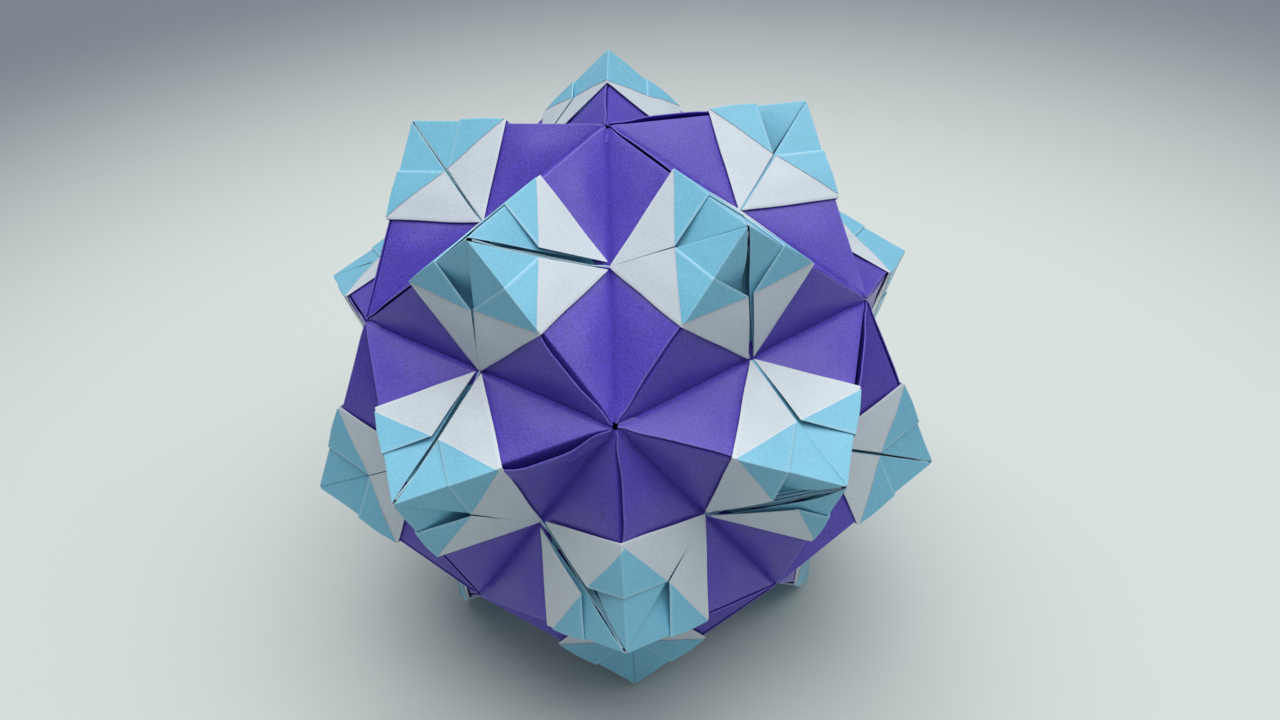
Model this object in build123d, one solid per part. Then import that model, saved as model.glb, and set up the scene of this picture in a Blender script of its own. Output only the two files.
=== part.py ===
"""Kusudama paper ball: thirty folded purple units with twenty folded blue caps on their points.

The ball is an icosahedron with a three-sided point on each of its faces. The faces of a point stand
square to each other, so a point is the corner of a cube, and each piece is drawn in such a corner:
X, Y and Z run from the tip down the three ridges, and the paper's outer faces lie on the planes
where X, Y or Z is zero.
"""

from build123d import *
from math import cos, pi, sin, sqrt
import os

# Sizes in millimetres.
valley_length = 50.0    # from the middle of one dimple to the middle of the next
sheet = 0.12            # thickness of the paper
slide_gap = 0.06        # play between layers that slide into each other

# Purple unit: a square sheet folded to walls, tabs and pockets.
dimple_hole = 1.0       # how far a wall stops short of the middle of a dimple
tab_trim = 1.4          # how far a tab stops short of the valley
pocket_seam = 0.8       # width of the seam that closes a pocket along the valley
pocket_lap = 0.6        # how far the mouth of a pocket stops short of the middle of its wall

# Blue cap: a square sheet with its corners folded in to the tip and out again.
petal_gap = 0.25        # height of the pocket between a cap's ground layer and its petal
slit_width = 0.3        # gap between two petals
pleat_slit = 1.8        # gap between the two petals beside the pleat
pleat_spread = 0.45     # how far apart the edges of the pleat lie at the valley
corner_inset = 0.35     # how far the corner of the sheet stops short of the petal's fold
pleat_groove = 0.5      # width of the groove where the spare quarter is pleated in
groove_start = 2.5      # how far from the tip that groove starts
tip_opening = 1.3       # side of the small opening at the tip
cap_gap = 0.3           # gap between two caps where they meet over a valley

overrun = 2.0           # by how much a shape runs past the plane that trims it

# How many layers of paper lie on each other.
wall_layers = 4
tab_layers = 4
pocket_layers = 1
pleat_layers = 4
pleat_edge_shares = [-1, 0, 1]      # where the edges of the pleat lie in its slit, in spreads

# The ball's net, from the length of a valley.
golden = (1 + sqrt(5)) / 2
ridge = valley_length / sqrt(2)
half_ridge = ridge / 2
lip = half_ridge / 2
face_radius = valley_length * golden ** 2 / sqrt(12)
tip_radius = face_radius + valley_length / sqrt(6)
dimple_radius = valley_length * sqrt(golden * sqrt(5)) / 2

# Thicknesses and depths, from the paper.
wall = wall_layers * sheet
tab = tab_layers * sheet
wall_edge = wall + slide_gap
tab_inner = wall_edge + tab
pocket_depth = tab_inner + slide_gap
pocket_floor = pocket_depth + pocket_layers * sheet

# Heights of a cap's layers above the purple walls.
pleat = pleat_layers * sheet
ground_low = pleat + slide_gap
ground_high = ground_low + sheet
petal_low = ground_high + petal_gap
petal_high = petal_low + sheet
corner_high = petal_high + sheet

# The middle of the ball and of a valley, seen from a tip.
ball_centre = Vector(1, 1, 1) * (tip_radius / sqrt(3))
valley_middle = Vector(half_ridge, half_ridge, 0)
valley_axis = Axis(valley_middle, ball_centre - valley_middle)
valley_line = Vector(1, -1, 0)
valley_plane = Plane(valley_middle, x_dir=valley_line, z_dir=valley_axis.direction.cross(valley_line))
tip_axis = Axis((0, 0, 0), (1, 1, 1))


def slab(points, plane, depth):
    """A flat piece of folded paper, cut to an outline and as deep as its layers."""
    outline = make_face(Polyline(*points, close=True))
    return extrude(plane * outline, depth)


def tip_side(shape, gap):
    """What lies on this point's side of the valley, clear of it by a gap."""
    return split(shape, bisect_by=valley_plane.offset(-gap), keep=Keep.BOTTOM)


def half_unit():
    """One wall of a unit, with the tab that runs under the next wall and the pocket for another tab."""
    beyond = ridge + overrun
    half = slab([(0, 0), (beyond, 0), (0, beyond)], Plane.XY, wall)

    tab_reach = ridge - tab_trim
    tab_plane = Plane((wall_edge, 0, 0), x_dir=(0, 1, 0), z_dir=(1, 0, 0))
    tab_outline = [(pocket_depth, 0), (tab_reach, 0), (pocket_depth, tab_reach - pocket_depth)]
    half += slab(tab_outline, tab_plane, tab)

    mouth_start = pocket_floor + pocket_lap
    mouth_end = (beyond - pocket_lap) / 2
    flap_outline = [(0, mouth_start), (pocket_floor, mouth_start), (mouth_end, mouth_end + pocket_lap),
                    (0, beyond)]
    half += slab(flap_outline, Plane.XY.offset(pocket_depth), pocket_floor - pocket_depth)

    seam = ridge - pocket_seam
    seam_end = (seam - pocket_lap) / 2
    seam_outline = [(seam_end, seam_end + pocket_lap), (mouth_end, mouth_end + pocket_lap), (0, beyond),
                    (0, seam)]
    half += slab(seam_outline, Plane.XY, pocket_floor)

    corner = ridge - dimple_hole
    half &= Pos(wall_edge, 0, 0) * Box(corner - wall_edge, corner, ridge, align=Align.MIN)
    return tip_side(half, 0)


def purple_unit():
    """A whole unit: two like halves, joined at the valley."""
    half = half_unit()
    return half + half.rotate(valley_axis, 180)


def corner_shell(low, high):
    """A layer that lies on all three faces of a point, between two heights above the purple walls."""
    block = Box(half_ridge + high, half_ridge + high, half_ridge + high, align=Align.MIN)
    hollow = Box(half_ridge + overrun, half_ridge + overrun, half_ridge + overrun, align=Align.MIN)
    return Pos(-high, -high, -high) * block - Pos(-low, -low, -low) * hollow


def over_ridge(low, high, start, end):
    """A layer bent over the ridge along X, between two heights and two distances from the tip."""
    reach = half_ridge
    bend = [(-high, -high), (reach, -high), (reach, -low), (-low, -low), (-low, reach), (-high, reach)]
    return slab(bend, Plane((start, 0, 0), x_dir=(0, 1, 0), z_dir=(1, 0, 0)), end - start)


def between_slits(shape, gaps):
    """Trims a layer to its petal, whose edges run from the tip to the ends of its fold."""
    for across, gap in zip(((1, -1, 0), (1, 0, -1)), gaps):
        edge = Plane((0, 0, 0), z_dir=across).offset(gap / 2)
        shape = split(shape, bisect_by=edge, keep=Keep.TOP)
    return shape


def petal(gaps):
    """A corner of the sheet, folded up to the tip and then down again to its first fold."""
    upper = over_ridge(petal_low, petal_high, lip, half_ridge)
    fold = over_ridge(ground_low, petal_high, half_ridge - sheet, half_ridge)
    shape = between_slits(upper + fold, gaps)
    corner = over_ridge(petal_high, corner_high, lip, half_ridge)
    for across in ((1, 1, 0), (1, 0, 1)):
        raw_edge = Plane((half_ridge - corner_inset, 0, 0), z_dir=across)
        corner = split(corner, bisect_by=raw_edge, keep=Keep.BOTTOM)
    return shape + between_slits(corner, gaps)


def pleat_edges():
    """The edges of the pleat's layers, which stand in its slit and run together at the tip."""
    low = ground_low - slide_gap
    plane = Plane((0, 0, -petal_high), x_dir=(1, 1, 0), z_dir=(0, 0, 1))
    start = groove_start
    end = half_ridge * sqrt(2)
    edges = []
    for share in pleat_edge_shares:
        near = share * pleat_spread * start / end
        far = share * pleat_spread
        outline = [(start, near - sheet / 2), (end, far - sheet / 2), (end, far + sheet / 2),
                   (start, near + sheet / 2)]
        edges.append(slab(outline, plane, petal_high - low))
    return edges


def blue_cap():
    """A cap: a ground layer on the three faces of a point, with a petal bent over each ridge."""
    cap = corner_shell(ground_low, ground_high)
    side = pleat_groove / 2
    groove_plane = Plane((0, 0, -ground_high), x_dir=(1, 1, 0), z_dir=(0, 0, 1))
    groove_end = half_ridge * sqrt(2)
    groove = [(groove_start, -side), (groove_end, -side), (groove_end, side), (groove_start, side)]
    cap -= slab(groove, groove_plane, sheet)
    pleat_outline = [(slide_gap, slide_gap), (half_ridge, slide_gap), (half_ridge, half_ridge),
                     (half_ridge - pleat_groove, half_ridge), (slide_gap, slide_gap + pleat_groove)]
    cap += slab(pleat_outline, Plane.XY.offset(-ground_low), pleat)
    cap += pleat_edges()
    petal_gaps = ((pleat_slit, slit_width), (slit_width, pleat_slit), (slit_width, slit_width))
    for turn, gaps in enumerate(petal_gaps):
        cap += petal(gaps).rotate(tip_axis, turn * 120)
    for turn in range(3):
        cap = tip_side(cap.rotate(tip_axis, 120), cap_gap / 2)
    tip_plane = Plane(Vector(1, 1, 1) * (tip_opening / sqrt(2) / 3 - ground_low), z_dir=(1, 1, 1))
    return split(cap, bisect_by=tip_plane, keep=Keep.TOP)


def dimples():
    """The middles of the twelve dimples: one on top, one below and two rings of five between."""
    ring_height = dimple_radius / sqrt(5)
    ring_radius = 2 * ring_height
    points = [Vector(0, 0, dimple_radius)]
    for level, turn in ((ring_height, 0), (-ring_height, pi / 5)):
        for step in range(5):
            angle = 2 * pi * step / 5 + turn - pi / 2
            points.append(Vector(ring_radius * cos(angle), ring_radius * sin(angle), level))
    points.append(Vector(0, 0, -dimple_radius))
    return points


def points_of_ball(middles):
    """For each point of the ball its three dimples, clockwise as seen from outside, topmost first."""
    found = []
    near = valley_length * golden / sqrt(2)
    for a in range(12):
        for b in range(a + 1, 12):
            for c in range(b + 1, 12):
                sides = ((a, b), (b, c), (a, c))
                if any((middles[i] - middles[j]).length > near for i, j in sides):
                    continue
                clockwise = (middles[b] - middles[a]).cross(middles[c] - middles[a]).dot(middles[a]) < 0
                found.append((a, b, c) if clockwise else (a, c, b))
    return found


def corner_plane(middles, a, b, c):
    """The corner of a point: its origin at the tip and its axes down the three ridges."""
    outward = (middles[a] + middles[b] + middles[c]).normalized()
    tip = outward * tip_radius
    return Plane(tip, x_dir=middles[a] - tip, z_dir=middles[c] - tip)


middles = dimples()
points = points_of_ball(middles)

# The slit of each cap that takes the pleat, counted round its point.
pleat_turns = [1, 0, 1, 0, 0, 2, 2, 2, 1, 2, 0, 1, 2, 0, 1, 2, 0, 1, 2, 0]

unit = purple_unit()
cap = blue_cap()
nodes = {}
for a, b, c in points:
    for i, j, k in ((a, b, c), (b, c, a), (c, a, b)):
        if i < j:
            name = f"purple_unit_{len(nodes) + 1:02d}"
            nodes[name] = corner_plane(middles, i, j, k).location * unit
for number, (trio, turn) in enumerate(zip(points, pleat_turns), 1):
    turned = trio[turn:] + trio[:turn]
    nodes[f"blue_cap_{number:02d}"] = corner_plane(middles, *turned).location * cap

# The ball stands on the five lowest points, with the floor at zero.
floor = min(shape.bounding_box().min.Z for shape in nodes.values())
os.makedirs("parts", exist_ok=True)
for name, shape in nodes.items():
    export_step(Pos(0, 0, -floor) * shape, f"parts/{name}.step")
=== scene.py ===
# %% [markdown]
# # A kusudama paper ball
# The ball is folded from thirty purple sheets and twenty blue ones, with no glue: the purple units
# slide into each other's pockets, and a blue cap sits on each of the twenty points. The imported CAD
# model gives the exact size and place of every sheet. This lesson folds the same sheets again as
# thin, slightly uneven paper, so that folds are rounded, slits open a little and layers show.
# We start by loading the frame and keeping its box, which the finished ball has to fit.

from math import cos, exp, pi, radians, sin, sqrt

import bmesh
import bpy
from mathutils import Matrix, Vector, noise


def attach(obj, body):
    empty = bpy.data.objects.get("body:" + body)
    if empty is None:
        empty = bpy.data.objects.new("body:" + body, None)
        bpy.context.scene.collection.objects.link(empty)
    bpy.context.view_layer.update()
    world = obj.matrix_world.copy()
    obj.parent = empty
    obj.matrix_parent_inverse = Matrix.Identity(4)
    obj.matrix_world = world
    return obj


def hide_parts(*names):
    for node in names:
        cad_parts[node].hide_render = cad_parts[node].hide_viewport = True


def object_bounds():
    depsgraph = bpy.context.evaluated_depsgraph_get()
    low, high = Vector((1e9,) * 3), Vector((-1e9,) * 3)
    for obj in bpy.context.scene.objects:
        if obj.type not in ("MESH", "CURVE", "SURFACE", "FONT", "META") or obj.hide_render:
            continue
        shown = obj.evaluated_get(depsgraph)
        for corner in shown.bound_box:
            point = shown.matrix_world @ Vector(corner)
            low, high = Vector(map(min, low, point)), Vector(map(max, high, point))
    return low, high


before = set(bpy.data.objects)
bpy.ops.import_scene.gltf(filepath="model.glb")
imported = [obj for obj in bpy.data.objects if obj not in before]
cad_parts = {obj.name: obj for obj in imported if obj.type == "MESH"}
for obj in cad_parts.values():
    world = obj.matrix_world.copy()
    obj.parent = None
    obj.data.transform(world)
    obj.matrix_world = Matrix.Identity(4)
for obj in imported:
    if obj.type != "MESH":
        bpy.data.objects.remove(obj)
cad_low, cad_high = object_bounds()
print("CAD box", [round(1000 * v, 2) for v in (*cad_low, *cad_high)], "mm")

# %% [markdown]
# ## The net of the ball
# A ball of this kind is an icosahedron with a three-sided point on every face. The twelve corners
# of the icosahedron are the dimples: one at the top, one at the bottom and two rings of five. All
# lengths follow from the valley, the straight crease between two dimples. A cap's sheet is as wide
# as a valley is long, so its folds fall on half and a quarter of a ridge.

# %% Lengths and dimples
mm = 0.001
valley_length = 50.0
golden = (1 + sqrt(5)) / 2
ridge = valley_length / sqrt(2)
half_ridge = ridge / 2
lip = half_ridge / 2
tip_radius = valley_length * (golden ** 2 / sqrt(12) + 1 / sqrt(6))
dimple_radius = valley_length * sqrt(golden * sqrt(5)) / 2
ball_middle = Vector((0, 0, (cad_low.z + cad_high.z) / 2))

ring_count = 5
ring_height = dimple_radius / sqrt(5)
dimples = [Vector((0, 0, dimple_radius))]
for level, turn in ((ring_height, 0), (-ring_height, pi / ring_count)):
    for step in range(ring_count):
        angle = 2 * pi * step / ring_count + turn - pi / 2
        dimples.append(Vector((2 * ring_height * cos(angle), 2 * ring_height * sin(angle), level)))
dimples.append(Vector((0, 0, -dimple_radius)))
print(len(dimples), "dimples; a ridge is", round(ridge, 2), "mm long")

# %% [markdown]
# Three dimples that are neighbours of each other hold a point between them, and its three faces
# stand square to each other, like the corner of a cube. So every piece can be drawn near the
# origin, with X, Y and Z running from a tip down its three ridges, and one matrix then carries it
# to its place. Drawing in millimetres keeps the numbers readable, and the same matrix turns them
# to metres.

# %% Points and the matrix of a corner
neighbour_slack = 1.1


def clockwise_points():
    """For each point its three dimples, clockwise as seen from outside, in the order of the nodes."""
    found = []
    near = valley_length * neighbour_slack
    count = len(dimples)
    for a in range(count):
        for b in range(a + 1, count):
            for c in range(b + 1, count):
                sides = ((a, b), (b, c), (a, c))
                if any((dimples[i] - dimples[j]).length > near for i, j in sides):
                    continue
                across = (dimples[b] - dimples[a]).cross(dimples[c] - dimples[a])
                found.append((a, b, c) if across.dot(dimples[a]) < 0 else (a, c, b))
    return found


def corner_matrix(a, b, c):
    """Carries a piece drawn at a tip, in millimetres, to its place on the ball, in metres."""
    tip = (dimples[a] + dimples[b] + dimples[c]).normalized() * tip_radius
    x, y, z = ((dimples[i] - tip).normalized() for i in (a, b, c))
    turn = Matrix((x, y, z)).transposed().to_4x4()
    return Matrix.Translation(ball_middle) @ Matrix.Scale(mm, 4) @ Matrix.Translation(tip) @ turn


points = clockwise_points()
print(len(points), "points")

# %% [markdown]
# ## Camera
# The ball is seen from a little above, close enough for a strong perspective. The position, lens
# and small roll were worked out from where the tips and dimples appear in the picture. Building
# the camera's matrix from its three axes avoids guessing at Euler angles.

# %% Camera
view_azimuth = radians(0.87)
view_elevation = radians(36.9)
view_roll = radians(-2.95)
view_distance = 0.21785
view_offset = (-0.0033, -0.0010)

away = Vector((sin(view_azimuth) * cos(view_elevation), -cos(view_azimuth) * cos(view_elevation),
               sin(view_elevation)))
level_right = Vector((cos(view_azimuth), sin(view_azimuth), 0))
level_up = away.cross(level_right)
camera_right = level_right * cos(view_roll) + level_up * sin(view_roll)
camera_up = level_up * cos(view_roll) - level_right * sin(view_roll)
eye = ball_middle + away * view_distance - camera_right * view_offset[0] - camera_up * view_offset[1]

camera_data = bpy.data.cameras.new("camera")
camera_data.sensor_width = 36.0
camera_data.lens = 34.09
camera_data.clip_start = 0.01
camera = bpy.data.objects.new("camera", camera_data)
camera_turn = Matrix((camera_right, camera_up, away)).transposed().to_4x4()
camera.matrix_world = Matrix.Translation(eye) @ camera_turn
bpy.context.scene.collection.objects.link(camera)
bpy.context.scene.camera = camera
print("camera at", [round(v, 4) for v in eye])

# %% [markdown]
# ## Floor
# The ball stands on a pale table. One large plane is enough, and its material fades from a pale to a dark
# grey with the distance from the ball, a painted pool of light: the lamp's falloff towards the back of the
# picture is painted into the floor's colour. The Standard view transform shows colours about as they are
# written.

# %% Floor
floor_half_side = 3.0
pale_grey = (0.60, 0.645, 0.62, 1)
# The dark grey is painted shade, where the lamp's pool of light falls off far from the ball.
painted_falloff_grey = (0.19, 0.215, 0.25, 1)
fade_start = 0.13
fade_end = 0.38
bpy.context.scene.view_settings.view_transform = "Standard"

floor_mesh = bmesh.new()
bmesh.ops.create_grid(floor_mesh, x_segments=1, y_segments=1, size=floor_half_side)
floor_data = bpy.data.meshes.new("floor")
floor_mesh.to_mesh(floor_data)
floor_mesh.free()
floor = bpy.data.objects.new("floor", floor_data)
bpy.context.scene.collection.objects.link(floor)

floor_finish = bpy.data.materials.new("pale_table")
floor_finish.use_nodes = True
floor_nodes = floor_finish.node_tree.nodes
floor_links = floor_finish.node_tree.links
floor_shader = floor_nodes["Principled BSDF"]
floor_shader.inputs["Roughness"].default_value = 0.9
floor_shader.inputs["Specular IOR Level"].default_value = 0.1
floor_place = floor_nodes.new("ShaderNodeTexCoord")
floor_distance = floor_nodes.new("ShaderNodeVectorMath")
floor_distance.operation = "LENGTH"
# Painted light: the floor's colour darkens with distance from the ball, a painted falloff of the lamp's pool
# of light.
painted_light_falloff = floor_nodes.new("ShaderNodeMapRange")
painted_light_falloff.interpolation_type = "SMOOTHSTEP"
painted_light_falloff.inputs["From Min"].default_value = fade_start
painted_light_falloff.inputs["From Max"].default_value = fade_end
floor_colour = floor_nodes.new("ShaderNodeMix")
floor_colour.data_type = "RGBA"
floor_colour.inputs["A"].default_value = pale_grey
floor_colour.inputs["B"].default_value = painted_falloff_grey
floor_links.new(floor_place.outputs["Object"], floor_distance.inputs[0])
floor_links.new(floor_distance.outputs["Value"], painted_light_falloff.inputs["Value"])
floor_links.new(painted_light_falloff.outputs["Result"], floor_colour.inputs["Factor"])
floor_links.new(floor_colour.outputs["Result"], floor_shader.inputs["Base Color"])
floor_data.materials.append(floor_finish)
print("floor of", 2 * floor_half_side, "m")

# %% [markdown]
# ## Light
# A broad soft lamp hangs above the ball. The up-facing paper is bright, the sides that lean forward
# get only what the table and the room give back, and the shadow has a soft edge all round. One wide
# area lamp and a dim, even world do that.

# %% Lamp and world
lamp_place = (0.09, 0.08, 1.1)
room_colour = (0.93, 0.97, 1.0, 1)

lamp_data = bpy.data.lights.new("ceiling_lamp", "AREA")
lamp_data.shape = "RECTANGLE"
lamp_data.size = 1.8
lamp_data.size_y = 1.3
lamp_data.energy = 19.3
lamp = bpy.data.objects.new("ceiling_lamp", lamp_data)
lamp.location = lamp_place
lamp.rotation_euler = (ball_middle - lamp.location).to_track_quat("-Z", "Y").to_euler()
bpy.context.scene.collection.objects.link(lamp)

world = bpy.data.worlds.new("room")
world.use_nodes = True
world.node_tree.nodes["Background"].inputs["Color"].default_value = room_colour
world.node_tree.nodes["Background"].inputs["Strength"].default_value = 0.20
bpy.context.scene.world = world
print("lamp of", lamp_data.energy, "W")

# %% [markdown]
# ## Paper
# All three surfaces are the same thin, matte paper: purple all through, or blue on one face and
# white on the other. Close up it has a fine felt of fibres, faint cloudy patches from the pulp,
# and a paler line along each sharp fold, where the coloured coat is stretched. One node group
# makes these from Object coordinates and from the attribute "worn" that the meshes carry along
# their folds, and each material places it with its own colours. Three small helpers keep the
# building of the group short.

# %% Helpers for nodes


def node(tree, kind, **settings):
    """Adds a node to a tree and sets its properties."""
    made = tree.nodes.new(kind)
    for key, value in settings.items():
        setattr(made, key, value)
    return made


def maths(tree, operation, first, second):
    """A math node on two sockets or numbers."""
    made = node(tree, "ShaderNodeMath", operation=operation)
    for place, value in enumerate((first, second)):
        if isinstance(value, (int, float)):
            made.inputs[place].default_value = value
        else:
            tree.links.new(value, made.inputs[place])
    return made.outputs[0]


def noise_node(tree, coordinates, scale, detail, roughness):
    """Noise on the given coordinates."""
    made = node(tree, "ShaderNodeTexNoise")
    made.inputs["Scale"].default_value = scale
    made.inputs["Detail"].default_value = detail
    made.inputs["Roughness"].default_value = roughness
    tree.links.new(coordinates, made.inputs["Vector"])
    return made.outputs["Fac"]


paper = bpy.data.node_groups.new("folded_paper", "ShaderNodeTree")
print("an empty node group:", paper.name)

# %% [markdown]
# The group has sockets for what differs between the papers, and gives back a colour, a roughness
# and a height. The noise of the fibres sits about a middle of 0.5, so taking that away leaves
# light and dark flecks in equal parts, which scale the colour's value up and down.

# %% The paper group
noise_middle = 0.5
least_roughness = 0.22
fibre_roughness = 0.2
fibre_height = 0.6
felt_height = 0.4
inputs = (
    ("Paper", "NodeSocketColor", (0.5, 0.5, 0.5, 1)),
    ("Fold", "NodeSocketColor", (0.8, 0.8, 0.8, 1)),
    ("Grain", "NodeSocketFloat", 0.1),
    ("Cloud", "NodeSocketFloat", 0.1),
    ("Wear", "NodeSocketFloat", 0.5),
)
outputs = (("Color", "NodeSocketColor"), ("Roughness", "NodeSocketFloat"), ("Height", "NodeSocketFloat"))
for name, kind, default in inputs:
    socket = paper.interface.new_socket(name, in_out="INPUT", socket_type=kind)
    socket.default_value = default
for name, kind in outputs:
    paper.interface.new_socket(name, in_out="OUTPUT", socket_type=kind)

group_in = node(paper, "NodeGroupInput")
group_out = node(paper, "NodeGroupOutput")
coordinates = node(paper, "ShaderNodeTexCoord").outputs["Object"]
fibre = noise_node(paper, coordinates, scale=3600.0, detail=2.0, roughness=0.6)
felt = noise_node(paper, coordinates, scale=8000.0, detail=2.0, roughness=0.6)
cloud = noise_node(paper, coordinates, scale=210.0, detail=3.0, roughness=0.55)
fleck = maths(paper, "SUBTRACT", fibre, noise_middle)
patch = maths(paper, "SUBTRACT", cloud, noise_middle)
grain_part = maths(paper, "MULTIPLY", fleck, group_in.outputs["Grain"])
cloud_part = maths(paper, "MULTIPLY", patch, group_in.outputs["Cloud"])
value = maths(paper, "ADD", maths(paper, "ADD", grain_part, cloud_part), 1.0)
tint = node(paper, "ShaderNodeHueSaturation")
paper.links.new(value, tint.inputs["Value"])
paper.links.new(group_in.outputs["Paper"], tint.inputs["Color"])
worn = node(paper, "ShaderNodeAttribute", attribute_name="worn").outputs["Fac"]
worn_here = maths(paper, "MULTIPLY", maths(paper, "MULTIPLY", worn, group_in.outputs["Wear"]),
                  maths(paper, "ADD", fibre, noise_middle))
mix = node(paper, "ShaderNodeMix", data_type="RGBA")
paper.links.new(worn_here, mix.inputs["Factor"])
paper.links.new(tint.outputs["Color"], mix.inputs["A"])
paper.links.new(group_in.outputs["Fold"], mix.inputs["B"])
paper.links.new(mix.outputs["Result"], group_out.inputs["Color"])
roughness = maths(paper, "ADD", maths(paper, "MULTIPLY", fibre, fibre_roughness), least_roughness)
paper.links.new(roughness, group_out.inputs["Roughness"])
height = maths(paper, "ADD", maths(paper, "MULTIPLY", fibre, fibre_height),
               maths(paper, "MULTIPLY", felt, felt_height))
paper.links.new(height, group_out.inputs["Height"])
print("paper group with", len(paper.nodes), "nodes")

# %% [markdown]
# Each paper is one material. It feeds the group with its colours, lets the group drive colour and
# roughness, and turns the height to a bump a tenth of a millimetre high. The purple paper has the
# strongest grain, because flecks show best on a dark coat.

# %% Purple, blue and white paper
grain_height = 0.1


def paper_finish(name, colour, fold_colour, grain, cloud_share, wear, bump):
    """A paper material: its colour, the colour of its worn folds and how strong its grain is."""
    made = bpy.data.materials.new(name)
    made.use_nodes = True
    tree = made.node_tree
    shader = tree.nodes["Principled BSDF"]
    shader.inputs["Specular IOR Level"].default_value = 0.45
    fibres = node(tree, "ShaderNodeGroup", node_tree=paper)
    fibres.inputs["Paper"].default_value = (*colour, 1)
    fibres.inputs["Fold"].default_value = (*fold_colour, 1)
    fibres.inputs["Grain"].default_value = grain
    fibres.inputs["Cloud"].default_value = cloud_share
    fibres.inputs["Wear"].default_value = wear
    rise = node(tree, "ShaderNodeBump")
    rise.inputs["Strength"].default_value = bump
    rise.inputs["Distance"].default_value = grain_height * mm
    tree.links.new(fibres.outputs["Color"], shader.inputs["Base Color"])
    tree.links.new(fibres.outputs["Roughness"], shader.inputs["Roughness"])
    tree.links.new(fibres.outputs["Height"], rise.inputs["Height"])
    tree.links.new(rise.outputs["Normal"], shader.inputs["Normal"])
    return made


purple_paper = paper_finish("purple_paper", colour=(0.093, 0.060, 0.475), fold_colour=(0.27, 0.23, 0.70),
                            grain=1.6, cloud_share=0.15, wear=0.4, bump=0.6)
blue_paper = paper_finish("blue_paper", colour=(0.20, 0.55, 0.74), fold_colour=(0.60, 0.82, 0.90),
                          grain=0.5, cloud_share=0.12, wear=0.5, bump=0.5)
white_paper = paper_finish("white_paper", colour=(0.63, 0.70, 0.755), fold_colour=(0.76, 0.82, 0.86),
                           grain=0.35, cloud_share=0.12, wear=0.4, bump=0.5)
print("papers:", purple_paper.name, blue_paper.name, white_paper.name)

# %% [markdown]
# ## Working with a sheet of paper
# Every piece starts as a flat grid, the sheet, which planes then cut to its outline. More cuts
# put extra rows of points where a fold will be, so that the fold comes out round and the flat
# parts stay flat. Moving the points of the flat sheet to their folded places keeps it one
# continuous paper, as on the real ball. Three helpers make a sheet, cut it and add it to a shape.

# %% Helpers for sheets
cut_tolerance = 1e-5


def flat_sheet(low, high, segments):
    """A square grid from low to high on both axes."""
    sheet = bmesh.new()
    bmesh.ops.create_grid(sheet, x_segments=segments, y_segments=segments, size=(high - low) / 2)
    bmesh.ops.translate(sheet, verts=sheet.verts, vec=((low + high) / 2, (low + high) / 2, 0))
    return sheet


def cut(sheet, point, across, trim=True):
    """Cuts a sheet along a straight line, and removes what lies beyond it unless trim is False."""
    everything = sheet.verts[:] + sheet.edges[:] + sheet.faces[:]
    bmesh.ops.bisect_plane(sheet, geom=everything, dist=cut_tolerance, plane_co=(*point, 0),
                           plane_no=(*across, 0), clear_outer=trim)


def add_sheet(shape, sheet):
    """Adds a folded sheet to a shape. The sheet is used up."""
    data = bpy.data.meshes.new("sheet")
    sheet.to_mesh(data)
    sheet.free()
    shape.from_mesh(data)
    bpy.data.meshes.remove(data)


test = flat_sheet(low=0.0, high=ridge, segments=2)
cut(test, (ridge, 0), (1, 1))
print("a sheet cut along its diagonal has", len(test.faces), "faces")
test.free()

# %% [markdown]
# Paper bends softly, so the formulas below need soft curves: one that rises from 0 to 1, and one
# that is 1 on a line and falls off on both sides. A third gives each place its own small
# deviation. It reads Blender's noise, so the ball comes out the same on every run, and the numbers
# in its calls only pick a place in the noise. The last helper finishes a piece: the Solidify
# modifier gives the paper its thickness and puts the back's material on the back.

# %% Soft curves and a finished piece
sharp_angle = radians(40)


def smooth_step(x):
    """Rises softly from 0 to 1 as x does."""
    x = min(1.0, max(0.0, x))
    return x * x * (3 - 2 * x)


def soft_line(distance, width):
    """1 on a line, falling off softly to 0 on both sides of it."""
    return exp(-(distance / width) ** 2)


def uneven(x, y, z):
    """A value between -1 and 1 for a place in the noise, the same on every run."""
    return noise.noise(Vector((x, y, z)))


def finish_piece(shape, name, finishes, thickness):
    """Makes the object, gives its paper a thickness, and ties it to the frame."""
    data = bpy.data.meshes.new(name)
    shape.to_mesh(data)
    shape.free()
    for finish in finishes:
        data.materials.append(finish)
    data.polygons.foreach_set("use_smooth", [True] * len(data.polygons))
    piece = bpy.data.objects.new(name, data)
    bpy.context.scene.collection.objects.link(piece)
    paper_body = piece.modifiers.new("paper", "SOLIDIFY")
    paper_body.thickness = thickness * mm
    paper_body.offset = -1
    back = 1 if len(finishes) > 1 else 0
    paper_body.material_offset = back
    paper_body.material_offset_rim = back
    bpy.context.view_layer.update()
    solid = piece.evaluated_get(bpy.context.evaluated_depsgraph_get())
    piece.data = bpy.data.meshes.new_from_object(solid)
    piece.data.name = name
    piece.data.set_sharp_from_angle(angle=sharp_angle)
    piece.modifiers.clear()
    bpy.data.meshes.remove(data)
    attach(piece, "root")
    return piece


print("halfway up the soft step is", smooth_step(0.5))

# %% [markdown]
# ## Points that are not quite sharp
# Folded paper has slack, so the tips of a real ball end up a little lower than the net says, and
# each by another amount. Sinking a tip while the valley round it stays in place keeps the three
# faces flat, and both purple walls and blue caps take the same formula, so they still fit. Of the
# five lowest points, which carry the ball, only the front one sinks, and the other four stay.

# %% Sinking a tip
(top, front, right, back_right, back_left, left,
 low_right, low_back_right, low_back, low_back_left, low_left, bottom) = range(len(dimples))
cap_numbers = {frozenset(trio): number for number, trio in enumerate(points, 1)}
seen_sinks = {1: 2.9, 2: 3.2, 3: 2.1, 5: 2.6, 6: 1.5, 7: 1.6, 8: 1.2, 17: 1.5}
hidden_sink = 1.6


def tip_sink(trio):
    """How far the tip between three dimples lies below the tip of the net."""
    return seen_sinks.get(cap_numbers[frozenset(trio)], 0.0 if bottom in trio else hidden_sink)


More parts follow.
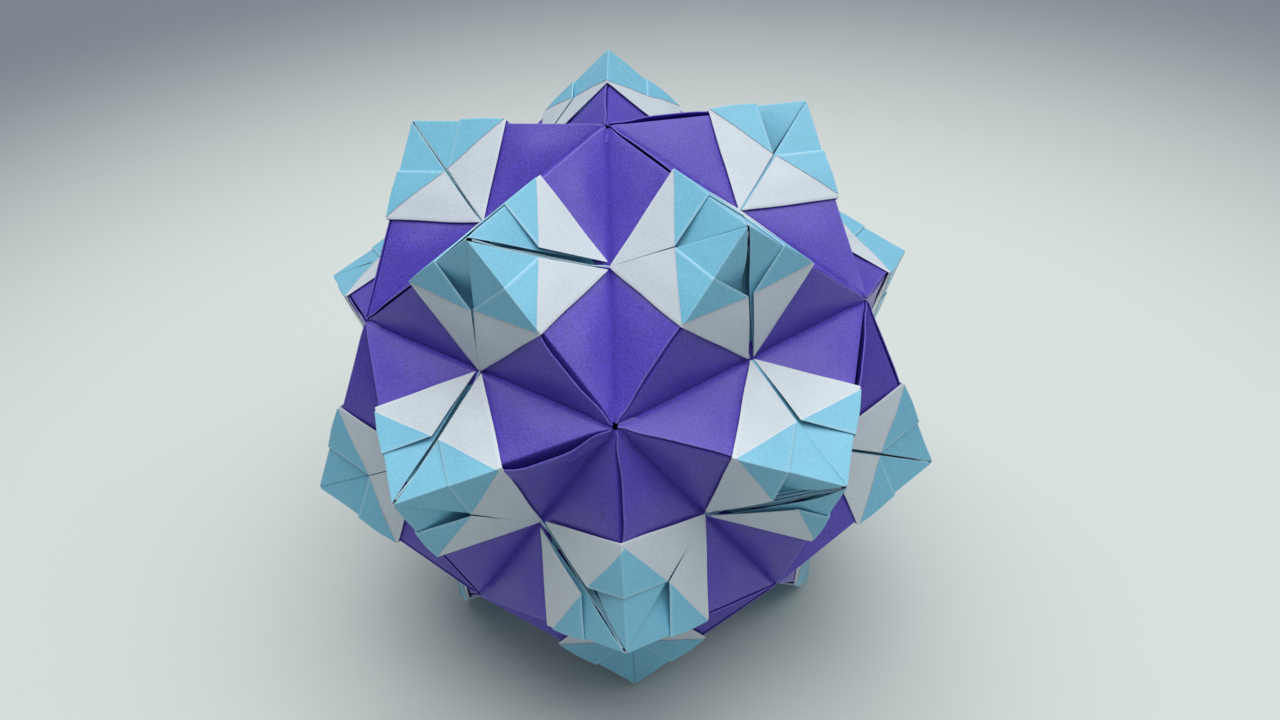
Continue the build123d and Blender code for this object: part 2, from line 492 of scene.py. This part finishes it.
def flatten_point(shape, sink):
    """Sinks the tip of a shape that is still drawn at its tip. The valley lines stay."""
    inward = Vector((1, 1, 1)).normalized()
    for vert in shape.verts:
        share = 1 - (vert.co.x + vert.co.y + vert.co.z) / ridge
        vert.co += inward * sink * share


print("tips sink by", min(seen_sinks.values()), "to", max(seen_sinks.values()), "mm")

# %% [markdown]
# ## Purple unit
# A unit is a square sheet folded to a long tab-and-pocket strip. Two of its faces show, one each
# side of a valley. Along one ridge the wall ends in a folded edge that rolls round to its back,
# and along the other it turns down as the tab that slides under the next unit's folded edge. The
# wall is drawn flat, with rows of points for the roll and the turn, and a formula for each of the
# two bends then folds it: a stretch of arc, and a straight stretch after it.

# %% The two bends of a purple wall
hem_radius = 0.13
tab_depth = 0.42
tab_radius = 0.2


def bend_tab(x):
    """Where a point x from the ridge goes as the wall turns down into its tab: along and down."""
    past = tab_depth + tab_radius - x
    if past <= 0:
        return x, 0.0
    angle = min(past / tab_radius, pi / 2)
    down = tab_radius * (1 - cos(angle)) + max(0.0, past - tab_radius * pi / 2)
    return tab_depth + tab_radius * (1 - sin(angle)), down


def roll_hem(y):
    """Where a point y from the ridge goes as the folded edge rolls round: along and down."""
    past = hem_radius - y
    if past <= 0:
        return y, 0.0
    angle = min(past / hem_radius, pi)
    back = max(0.0, past - hem_radius * pi)
    return hem_radius * (1 - sin(angle)) + back, hem_radius * (1 - cos(angle))


print("at the ridge a tab is", round(bend_tab(0.0)[1], 2), "mm down")

# %% [markdown]
# Before it is bent, a wall is a triangle with one short side along each ridge and its long side in
# the valley. Small pieces are cut off at the tip, where the cap covers it, and at the dimples,
# where the units leave a hole. Rows of points lie close together beside the folds and the valley.

# %% A flat purple wall
margin = 2.6
tip_trim = 3.0
dimple_hole = 0.6
hole_spread = 0.7
wall_segments = 26
tab_steps = 4
hem_steps = 6
tab_rows = [tab_depth + tab_radius * (1 - step * pi / 2 / tab_steps) for step in range(tab_steps + 1)]
rolled_rows = [hem_radius * (1 - step * pi / hem_steps) for step in range(hem_steps + 1)]
rows_beside_hem = [0.3, 0.6]
hem_rows = rolled_rows + rows_beside_hem
crease_rows = (0.12, 0.3, 0.6, 1.1)


def flat_wall(seed):
    """The flat sheet of a wall with its tab and folded edge, and with rows for its folds."""
    sheet = flat_sheet(-margin, ridge, wall_segments)
    cut(sheet, (ridge, 0), (1, 1))
    hole = dimple_hole * (1 + hole_spread * uneven(seed, 0.3, 5.1))
    cut(sheet, (ridge - hole, 0), (1, 0))
    cut(sheet, (0, ridge - hole), (0, 1))
    cut(sheet, (tip_trim, 0), (-1, -1))
    for row in tab_rows:
        cut(sheet, (row, 0), (1, 0), trim=False)
    for row in hem_rows:
        cut(sheet, (0, row), (0, 1), trim=False)
    for row in crease_rows:
        cut(sheet, (ridge - sqrt(2) * row, 0), (1, 1), trim=False)
    return sheet


test = flat_wall(seed=0.0)
print("a flat wall has", len(test.faces), "faces")
test.free()

# %% [markdown]
# Where a cap covers it, the wall lies lower. On the real ball the cap's layers press it in, and here
# the hollow leaves room for them and keeps purple out of the cap's dark slits.

# %% The hollow under a cap
hollow_edge = 0.8
hollow_slope = 1.8
least_hollow = 0.5
more_hollow = 3.0
hollow_start = 1.0
hollow_rise = 5.0


def hollow(x, y):
    """How far a wall lies below its plane where a cap covers it."""
    covered = smooth_step((half_ridge - hollow_edge - max(x, y)) / hollow_slope)
    return covered * (least_hollow + more_hollow * smooth_step((min(x, y) - hollow_start) / hollow_rise))


print("in the middle of a cap's face the hollow is", round(hollow(lip, lip), 2), "mm deep")

# %% [markdown]
# A wall of thin paper is never flat. The folded edge lifts off and draws back a little between the
# cap and the dimple, so a dark slit shows beside it. The face bows out, and ripples run over it.
# Both fade out at the valley, where the two halves have to meet, and under the caps, where the tab
# is kept short too, so that it stays clear of the cap's slits. The valley is pressed in as a crease.

# %% Half of a purple unit
purple_thickness = 0.12
valley_fade = 5.0  # slit, bow and ripples fade out over this width beside the valley
covered_tab = 0.3  # share of the tab's width that is left under a cap
tab_rise = 3.0
slit_early = 3.0  # the slit begins this far under the cap
slit_rise = 6.0
slit_fall = 9.0  # and closes over this length towards the dimple
lift_share = 0.8  # how far the folded edge lifts, as a share of the slit
lift_width = 5.0
back_share = 0.7  # how far it draws back, as a share of the slit
back_width = 3.0
ripple_height = 0.10
ripple_length = 11.0
ripple_rise = 3.0
bow_edge = 6.0  # the bow grows over this width beside each ridge
bow_start = 0.5
bow_rise = 5.0
hem_wear_place = hem_radius / 3
hem_wear_width = 0.14
crease_depth = 0.3
crease_width = 0.45
valley_middle = Vector((half_ridge, half_ridge, 0))
into_ball = (Vector((1, 1, 1)) * (tip_radius / sqrt(3)) - valley_middle).normalized()


def half_unit(slit, bow, seed):
    """A folded wall. The slit is how far its folded edge stands open, the bow how far it bulges."""
    sheet = flat_wall(seed)
    worn_layer = sheet.verts.layers.float.new("worn")
    for vert in sheet.verts:
        x, y = vert.co.x, vert.co.y
        bare = smooth_step((y - half_ridge + tab_rise) / tab_rise)
        along, down_tab = bend_tab(x if x > 0 else x * (covered_tab + (1 - covered_tab) * bare))
        across, down_hem = roll_hem(y)
        from_valley = max(0.0, (ridge - x - y) / sqrt(2))
        flat = smooth_step(from_valley / valley_fade)
        reach = smooth_step((x - half_ridge + slit_early) / slit_rise)
        reach = reach * smooth_step((ridge - x) / slit_fall) * flat
        lift = lift_share * slit * reach * soft_line(max(y, 0), lift_width)
        back = back_share * slit * reach * soft_line(max(y, 0), back_width)
        ripple = ripple_height * flat * uneven(x / ripple_length, y / ripple_length, seed)
        ripple *= smooth_step((max(x, y) - half_ridge) / ripple_rise)
        belly = bow * flat * smooth_step(x / bow_edge) * smooth_step(y / bow_edge)
        belly *= smooth_step((max(x, y) - half_ridge - bow_start) / bow_rise)
        belly -= hollow(x, y)
        vert[worn_layer] = soft_line(y - hem_wear_place, hem_wear_width)
        vert.co = (along, across + back, down_tab + down_hem - lift - ripple - belly)
        vert.co += into_ball * crease_depth * soft_line(from_valley, crease_width)
    bmesh.ops.reverse_faces(sheet, faces=sheet.faces)
    return sheet


test = half_unit(slit=0.3, bow=0.2, seed=0.0)
print("half a unit has", len(test.faces), "faces")
test.free()

# %% [markdown]
# A whole unit is two such halves, turned half round about the line from the ball's middle to the
# middle of the valley. Their edges meet point for point, so merging joins them along the crease.
# At a dimple the five units push each other aside, so their edges wind round the hole a little.

# %% A purple unit
half_turn = (Matrix.Translation(valley_middle) @ Matrix.Rotation(pi, 4, into_ball)
             @ Matrix.Translation(-valley_middle))
swirl = 0.35
swirl_radius = 1.7 * mm
usual_bow = 0.45
bow_spread = 0.3
half_seed = 7.7
weld_distance = 0.01


def swirl_dimple(shape, dimple):
    """Turns what lies close to the middle of a dimple, as the edges there wind round its hole."""
    axis = dimples[dimple].normalized()
    for vert in shape.verts:
        arm = vert.co - ball_middle
        if arm.dot(axis) > 0:
            distance = (arm - axis * arm.dot(axis)).length
            turn = Matrix.Rotation(swirl * soft_line(distance, swirl_radius), 3, axis)
            vert.co = ball_middle + turn @ arm


def purple_unit(name, ends, place, slits, sinks, seed):
    """A unit from two halves, joined at the valley, with its ends wound round their dimples."""
    unit = bmesh.new()
    for half, turn in enumerate((Matrix.Identity(4), half_turn)):
        bow = usual_bow + bow_spread * uneven(seed, half, 3.3)
        sheet = half_unit(slits[half], bow, seed + half_seed * half)
        flatten_point(sheet, sinks[half])
        bmesh.ops.transform(sheet, matrix=turn, verts=sheet.verts)
        add_sheet(unit, sheet)
    bmesh.ops.remove_doubles(unit, verts=unit.verts, dist=weld_distance)
    bmesh.ops.transform(unit, matrix=place, verts=unit.verts)
    for dimple in ends:
        swirl_dimple(unit, dimple)
    return finish_piece(unit, name, [purple_paper], purple_thickness)


print("units wind by up to", swirl, "radians at a dimple")

# %% [markdown]
# Every valley gets a unit, numbered as in the CAD model. A valley belongs to two points, and each
# half of its unit is a wall of one of them. The slits of the seams that face the viewer follow the
# picture, each named by the dimple it runs to and the number of its point. The rest get a chance
# value.

# %% The thirty purple units
seam_slits = {(front, 7): 1.3, (front, 2): 0.65, (front, 8): 0.6, (front, 1): 0.35, (front, 6): 0.25,
              (top, 3): 1.0, (right, 6): 1.0}
usual_slit = 0.25
slit_spread = 0.3
least_slit = 0.05
unit_seed = 3.1
valleys = [(i, j, k) for a, b, c in points for i, j, k in ((a, b, c), (b, c, a), (c, a, b)) if i < j]

for number, (i, j, k) in enumerate(valleys, 1):
    seed = unit_seed * number
    other = next(set(trio) - {i, j} for trio in points if {i, j} < set(trio) and k not in trio)
    tips = ((i, j, k), (i, j, *other))
    slits = []
    for half, (dimple, tip) in enumerate(zip((i, j), tips)):
        guess = usual_slit + slit_spread * uneven(seed, 2.2 * half, 0.7)
        slits.append(seam_slits.get((dimple, cap_numbers[frozenset(tip)]), max(least_slit, guess)))
    sinks = [tip_sink(tip) for tip in tips]
    name = f"purple_unit_{number:02d}"
    unit = purple_unit(f"{name}.paper", (i, j), corner_matrix(i, j, k), slits, sinks, seed)
    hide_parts(name)
print(len(valleys), "purple units")

# %% [markdown]
# ## Blue cap
# A cap is a small square of paper, blue on one face and white on the other, with its middle on a
# tip. Each corner is folded in to the tip, which shows the white back, and half of it is turned
# out again, which shows a blue corner. So a quarter of the sheet is a diamond with one corner at
# the tip, and two folds across it do everything: the ground layer runs out to the first fold, the
# white petal back to the second, and the blue corner out again. The diamond is drawn flat, with s
# for the way out along the ridge and v for the way across it, folded by a formula along s, and
# then bent over the ridge by a formula across v. The three heights of a stack of layers are those
# of ground, petal and corner above the purple wall.

# %% Folding a quarter of a cap
cap_thickness = 0.09
pressed_layers = (0.30, 0.37, 0.58)
standing_layers = (0.46, 0.86, 1.12)
second_fold = 1.5 * half_ridge
tip_cut = 0.3
crease_radius = 0.1
tip_turn = 0.3
corner_reach = lip


def fold_quarter(s, layers):
    """The fold: how far from the tip a point s along the sheet lies, and how high."""
    ground, petal, corner = layers
    first_round = (petal - ground) / 2
    second_round = (corner - petal) / 2
    if s < half_ridge - first_round:
        return s, ground
    if s < half_ridge + first_round:
        angle = (s - half_ridge + first_round) / (2 * first_round) * pi
        return half_ridge - first_round * (1 - sin(angle)), ground + first_round * (1 - cos(angle))
    back = 2 * half_ridge - second_fold
    if s < second_fold - second_round:
        return 2 * half_ridge - s, petal
    if s < second_fold + second_round:
        angle = (s - second_fold + second_round) / (2 * second_round) * pi
        return back + second_round * (1 - sin(angle)), petal + second_round * (1 - cos(angle))
    return back + s - second_fold, corner


def over_ridge(p, v, height):
    """Creases a point over the ridge: p from the tip, v across, at a height above the wall."""
    reach = min(p, corner_reach)
    end = reach - height * (1 - reach / corner_reach)
    along = end if p < corner_reach else p
    turn = min(crease_radius, tip_turn * p)
    side = abs(v)
    if side >= reach:
        out, down = end + side - reach, -height
    elif side >= turn:
        out, down = turn - height + (side - turn) * (end + height - turn) / (reach - turn), -height
    else:
        angle = pi / 4 * (1 - side / turn)
        out, down = turn * (1 - sin(angle)) - height, turn * (1 - cos(angle)) - height
    return Vector((along, out, down)) if v >= 0 else Vector((along, down, out))


print("the crease at the tip reaches", over_ridge(tip_cut, 0.0, pressed_layers[0]))

# %% [markdown]
# Each side of a quarter has its own slit towards the next quarter. Beside the petal the slit is a
# straight cut. The ground is cut back only where the slit holds the pleat, and there its edge is
# turned in a little. The cut stops at a widest value, and what a very wide slit needs beyond that
# is pushed aside later as a round bay, so the ground still ends at the middle of the valley.

# %% A flat quarter
quarter_segments = (32, 24)
ground_start = 0.05
tip_share = 0.45
turned_in = 0.15
widest_cut = 0.7
edge_rows = (0.0, 0.14, 0.32, 0.6, 1.0)
ridge_rows = (-0.6, -0.25, -0.1, -0.05, 0.0, 0.05, 0.1, 0.25, 0.6)
fold_margin = 0.6


def flat_quarter(layers, gaps, opens):
    """The flat sheet of a quarter with rows for its folds, and what shapes the ground at each side."""
    sheet = bmesh.new()
    along_count, across_count = quarter_segments
    bmesh.ops.create_grid(sheet, x_segments=along_count, y_segments=across_count, size=half_ridge)
    bmesh.ops.translate(sheet, verts=sheet.verts, vec=(half_ridge, 0, 0))
    edges = {}
    for side, gap, opening in zip((1, -1), gaps, opens):
        straight = min(opening, widest_cut)
        bay = sqrt(2) * (opening - straight)
        start = ground_start + sqrt(2) * tip_share * straight
        slope = 1 - sqrt(2) * (1 - tip_share) * straight / lip
        depth = turned_in if opening else 0.0
        edges[side] = start, slope, depth, bay
        cut(sheet, (start - depth / slope, 0), (-slope, side))
        cut(sheet, (2 * half_ridge - sqrt(2) * gap, 0), (1, side))
        for row in edge_rows:
            cut(sheet, (start + sqrt(2) * row, 0), (-slope, side), trim=False)
            cut(sheet, (2 * half_ridge - sqrt(2) * (gap + row), 0), (1, side), trim=False)
    cut(sheet, (tip_cut, 0), (-1, 0))
    ground, petal, corner = layers
    for fold, radius in ((half_ridge, (petal - ground) / 2), (second_fold, (corner - petal) / 2)):
        for row in (-fold_margin, -radius, -radius / 2, 0, radius / 2, radius, fold_margin):
            cut(sheet, (fold + row, 0), (1, 0), trim=False)
    for row in ridge_rows:
        cut(sheet, (0, row), (0, 1), trim=False)
    return sheet, edges


test, test_edges = flat_quarter(pressed_layers, gaps=(0.1, 0.1), opens=(0.0, 0.0))
print("a flat quarter has", len(test.faces), "faces and", len(test_edges), "sides")
test.free()

# %% [markdown]
# A fold is never pressed flat all over. A lip gapes at its end and the ground beneath it dips into
# the hollow point, so it lies in shade. The two sides of a quarter can dip by different amounts.
# The petal bulges a little, the whole quarter is wavy, its outer edge is not quite straight, and
# where the paper is creased it is worn pale. A petal can also lean away from a wide slit.

# %% A quarter of a cap
slit_wear = 0.8  # how pale the turned-in edge at a pleat's slit is
ridge_wear = 0.5  # and the crease over the ridge
wear_width = 0.12
fold_wear_width = 0.15
turn_fade = 2.0  # the turned-in edge flattens over this length at the first fold
petal_rise = 1.5  # ground turns to petal over this length past the first fold
gape_share = 0.15  # how far a petal rises, as a share of the dip below it
gape_power = 1.5
sag_depth = 0.06  # how far the edge of the ground sags
sag_width = 0.25
sag_rise = 2.0
wave_height = 0.08
wave_length = 7.0
wave_rise = 4.0
petal_bulge = 0.12
wobble = 0.2  # how uneven an outer edge is
wobble_middle = 0.5
wobble_length = 8.0
wobble_rise = 6.0


def quarter(layers, gaps, opens, leans, dips, seed):
    """A folded quarter: the slits beside its petal and its ground, and how far the ground dips."""
    sheet, edges = flat_quarter(layers, gaps, opens)
    worn_layer = sheet.verts.layers.float.new("worn")
    for vert in sheet.verts:
        s, v = vert.co.x, vert.co.y
        p, height = fold_quarter(s, layers)
        side = 1 if v > 0 else -1
        start, slope, depth, bay = edges[side]
        over = side * v - max(0.0, slope * (s - start))
        standing = 0.0
        if depth and s < half_ridge:
            standing = slit_wear * soft_line(over, wear_width)
            bent = max(0.0, over) * smooth_step((half_ridge - s) / turn_fade)
            v -= side * bent
            v -= bay * sin(pi * p / half_ridge) * max(-1.0, min(1.0, v / p))
            height -= bent
        beyond = smooth_step((s - half_ridge) / petal_rise)
        dip = dips[0] * smooth_step(v / lip) + dips[1] * smooth_step(-v / lip)
        rise = smooth_step((half_ridge - p) / (half_ridge - lip))
        height += beyond * gape_share * dip * rise ** gape_power
        height -= (1 - beyond) * dip * smooth_step(p / lip) * rise
        edge = max(0.0, p - abs(v))
        height -= (1 - beyond) * sag_depth * soft_line(edge, sag_width) * smooth_step(p / sag_rise)
        height += wave_height * uneven(p / wave_length, v / wave_length, seed) * smooth_step(p / wave_rise)
        height += petal_bulge * beyond * sin(pi * rise)
        off_straight = wobble * (wobble_middle + uneven(v / wobble_length, seed, 6.1))
        p -= off_straight * smooth_step((p - lip) / wobble_rise)
        fold_wear = max(soft_line(s - fold, fold_wear_width) for fold in (half_ridge, second_fold))
        vert[worn_layer] = max(fold_wear, ridge_wear * soft_line(v, wear_width), standing)
        lean = leans[0] if v > 0 else leans[1]
        swing = min(abs(v), max(0.0, half_ridge - p))
        v -= lean * beyond * (swing if v > 0 else -swing)
        vert.co = over_ridge(p, v, height)
    bmesh.ops.reverse_faces(sheet, faces=sheet.faces)
    return sheet


test = quarter(pressed_layers, gaps=(0.1, 0.1), opens=(0, 0), leans=(0, 0), dips=(0, 0), seed=0)
print("a quarter of a cap has", len(test.faces), "faces")
test.free()

# %% [markdown]
# Three quarters make a cap. The fourth is pleated away in one slit, where the edges of its layers
# stand as thin pale lines in a dark gap, and a strip of the same paper closes the gap's bottom.
# Which slit that is, how wide it is, how its layers stand and which lips gape differs from cap to
# cap. The caps that face the viewer follow the picture. Tables by cap number give the pleat: the
# widths to both sides, each layer's place and height, and how far the petals lean. Slits and dips
# are named by their cap, the dimple that their ridge runs to and the dimple on their other side.

# %% What differs from cap to cap
pleat_turns = (1, 0, 1, 0, 0, 2, 2, 2, 1, 2, 0, 1, 2, 0, 2, 2, 0, 1, 2, 0)
pleat_gaps = {1: (0.42, 0.42), 2: (0.6, 0.6), 5: (0.15, 0.15), 6: (0.5, 0.5), 7: (0.5, 0.5), 8: (0.9, 0.9),
              10: (0.2, 0.2), 15: (0.3, 0.3)}
usual_pleat_gaps = (0.35, 0.35)
pleat_layers = {1: ((0.5, -1.5),), 2: ((-0.3, -0.6), (0.35, -0.3)), 5: ((0.0, 0.25),),
                6: ((-0.9, -0.5), (-0.5, -0.3), (-0.1, -0.3), (0.5, -0.6)), 7: ((-0.35, -0.6), (0.3, -0.25)),
                8: ((-0.8, -0.3), (-0.4, -0.6), (0.0, -0.8))}
usual_pleat_layers = ((-0.3, -0.6), (0.3, -0.3))
pleat_leans = {6: (0.4, 0.015)}
usual_pleat_leans = (0.015, 0.015)
ground_gaps = {6: (2.3, 0.7)}
ground_share = 0.95
usual_gap = 0.08
side_gaps = {(3, top, right): 0.12, (3, right, top): 0.4, (6, front, right): 0.28, (6, right, front): 0.42}
side_dips = {
    (1, front, right): 1.9, (1, top, front): 0.7, (1, right, front): 0.5,
    (2, left, front): 2.3, (2, top, front): 0.5, (2, left, top): 0.4,
    (3, top, right): 1.7,
    (6, front, low_right): 2.2, (6, right, front): 0.7, (6, low_right, front): 0.5,
    (7, left, front): 0.5, (7, low_left, front): 1.5, (7, front, left): 0.3,
    (8, low_left, front): 0.5, (8, low_right, front): 1.8, (8, front, low_left): 1.5,
}
seen_caps = (1, 2, 3, 5, 6, 7, 8)
print("widest pleat slit:", max(sum(pair) for pair in ground_gaps.values()), "mm")

# %% [markdown]
# A layer of the pleat is a thin strip that stands on edge along the slit. It starts low at the tip,
# rises to its own height and sinks again at the valley, and its upper edge is worn pale. Both sides
# of it are blue, so it takes the third material of the cap, which has no white back.

# %% Layers in the pleat's slit
strip_segments = (40, 4)
strip_half = 0.5
blue_on_both = 2
slit_length = sqrt(2) * half_ridge
to_lip = sqrt(2) * lip
layer_start = 0.7
layer_end = 0.3
layer_wave = 0.06
layer_wave_length = 5.0
layer_wear = 2.0
tip_rise = 4.0  # a layer rises over a quarter of its length at the tip
valley_rise = 8.0  # and sinks over an eighth at the valley
end_height = 0.2
end_depth = 0.1
pleat_depth = 0.3
end_share = 0.55  # layers draw together by this share of the slit towards the valley


def flat_strip():
    """A flat strip, one unit long and wide, with its middle at the origin."""
    strip = bmesh.new()
    along_count, across_count = strip_segments
    bmesh.ops.create_grid(strip, x_segments=along_count, y_segments=across_count, size=strip_half)
    return strip


def pleat_fold(gaps, shift, top_height, seed):
    """One layer of the pleat: a thin strip that stands along the slit, blue on both sides."""
    strip = flat_strip()
    worn_layer = strip.verts.layers.float.new("worn")
    for vert in strip.verts:
        t = vert.co.x + strip_half
        drop = strip_half - vert.co.y
        along = layer_start + (slit_length - layer_end - layer_start) * t
        share = tip_share + (1 - tip_share) * smooth_step(along / to_lip)
        share -= end_share * smooth_step((along - to_lip) / (slit_length - to_lip))
        across = shift * (gaps[1] if shift > 0 else gaps[0]) * share
        across += layer_wave * uneven(along / layer_wave_length, seed, 1.7)
        ends = smooth_step(tip_rise * t) * smooth_step(valley_rise * (1 - t))
        height = end_height + (top_height - end_height) * ends - (end_depth + pleat_depth * ends) * drop
        vert[worn_layer] = layer_wear * smooth_step(1 - 2 * drop)
        vert.co = ((along - across) / sqrt(2), (along + across) / sqrt(2), -height)
    for face in strip.faces:
        face.material_index = blue_on_both
    return strip


test = pleat_fold(usual_pleat_gaps, shift=0.0, top_height=0.3, seed=0.0)
print("a pleat fold has", len(test.faces), "faces")
test.free()

# %% [markdown]
# The strip at the bottom follows the hollow in the purple walls, a little above it. It reaches under
# the ground on both sides, so no purple shows through, and ends inside the cap's outline.

# %% The bottom of the pleat's slit
bed_start = 4.0
bed_end = 2.3
bed_margin = 1.5
bed_limit = half_ridge - bed_margin
bed_overlap = 1.5
bed_clearance = 0.6
least_bed_depth = 0.1
most_bed_depth = 2.0


def pleat_bed(gaps):
    """The paper at the bottom of the slit, close above the purple walls."""
    strip = flat_strip()
    strip.verts.layers.float.new("worn")
    for vert in strip.verts:
        along = bed_start + (slit_length - bed_end - bed_start) * (vert.co.x + strip_half)
        across = (vert.co.y + strip_half) * (gaps[0] + gaps[1] + 2 * bed_overlap) - gaps[0] - bed_overlap
        x = min((along - across) / sqrt(2), bed_limit)
        y = min((along + across) / sqrt(2), bed_limit)
        vert.co = (x, y, max(least_bed_depth, min(most_bed_depth, hollow(x, y) - bed_clearance)))
    for face in strip.faces:
        face.material_index = blue_on_both
        if face.normal.z > 0:
            face.normal_flip()
    return strip


test = pleat_bed(usual_pleat_gaps)
print("the bottom of a slit has", len(test.faces), "faces")
test.free()

# %% [markdown]
# A whole cap is three quarters, turned about the line through its tip, and the pleat between the
# first two. The five quarters that stand on the table are less tightly pressed than the rest. Slits
# and dips that no table names get a chance value. The third material is blue again, for the pleat:
# the Solidify modifier takes the next material for the back and stops at the last.

# %% The twenty blue caps
cap_seed = 5.3
quarter_seed = 4.4
gap_spread = 0.05
dip_spread = 1.2


def side_values(number, ridge_dimple, toward, seed):
    """The slit and the dip at one side of a quarter."""
    key = (number, ridge_dimple, toward)
    chance = uneven(seed, 1.9 * ridge_dimple, 2.3 * toward)
    guess = 0.0 if number in seen_caps else max(0.0, dip_spread * chance)
    return side_gaps.get(key, usual_gap + gap_spread * chance), side_dips.get(key, guess)


def blue_cap(name, number, trio, seed):
    """A cap from three folded quarters and the layers of its pleat."""
    pleat = pleat_gaps.get(number, usual_pleat_gaps)
    ground_pleat = ground_gaps.get(number, [ground_share * gap for gap in pleat])
    sheets = []
    for turn in range(3):
        ahead, behind = trio[(turn + 1) % 3], trio[turn - 1]
        sides = [side_values(number, trio[turn], toward, seed) for toward in (ahead, behind)]
        gaps = [gap for gap, dip in sides]
        dips = [dip for gap, dip in sides]
        opens = [0.0, 0.0]
        leans = [0.0, 0.0]
        if turn < 2:
            gaps[turn] += pleat[turn]
            opens[turn] = ground_pleat[turn]
            leans[turn] = pleat_leans.get(number, usual_pleat_leans)[turn]
        layers = standing_layers if trio[turn] == bottom else pressed_layers
        sheet = quarter(layers, gaps, opens, leans, dips, seed + quarter_seed * turn)
        bmesh.ops.rotate(sheet, verts=sheet.verts, matrix=Matrix.Rotation(turn * 2 * pi / 3, 3, (1, 1, 1)))
        sheets.append(sheet)
    sheets.append(pleat_bed(ground_pleat))
    for shift, top_height in pleat_layers.get(number, usual_pleat_layers):
        sheets.append(pleat_fold(ground_pleat, shift, top_height, seed + shift))
    cap = bmesh.new()
    for sheet in sheets:
        add_sheet(cap, sheet)
    flatten_point(cap, tip_sink(trio))
    bmesh.ops.transform(cap, matrix=corner_matrix(*trio), verts=cap.verts)
    return finish_piece(cap, name, [blue_paper, white_paper, blue_paper], cap_thickness)


for number, (trio, turn) in enumerate(zip(points, pleat_turns), 1):
    name = f"blue_cap_{number:02d}"
    cap = blue_cap(f"{name}.paper", number, trio[turn:] + trio[:turn], cap_seed * number)
    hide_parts(name)
print(len(points), "blue caps")

# %% [markdown]
# ## Size
# The folded paper has to stay in the space that the CAD model gives it.

# %% Finish
bpy.context.view_layer.update()
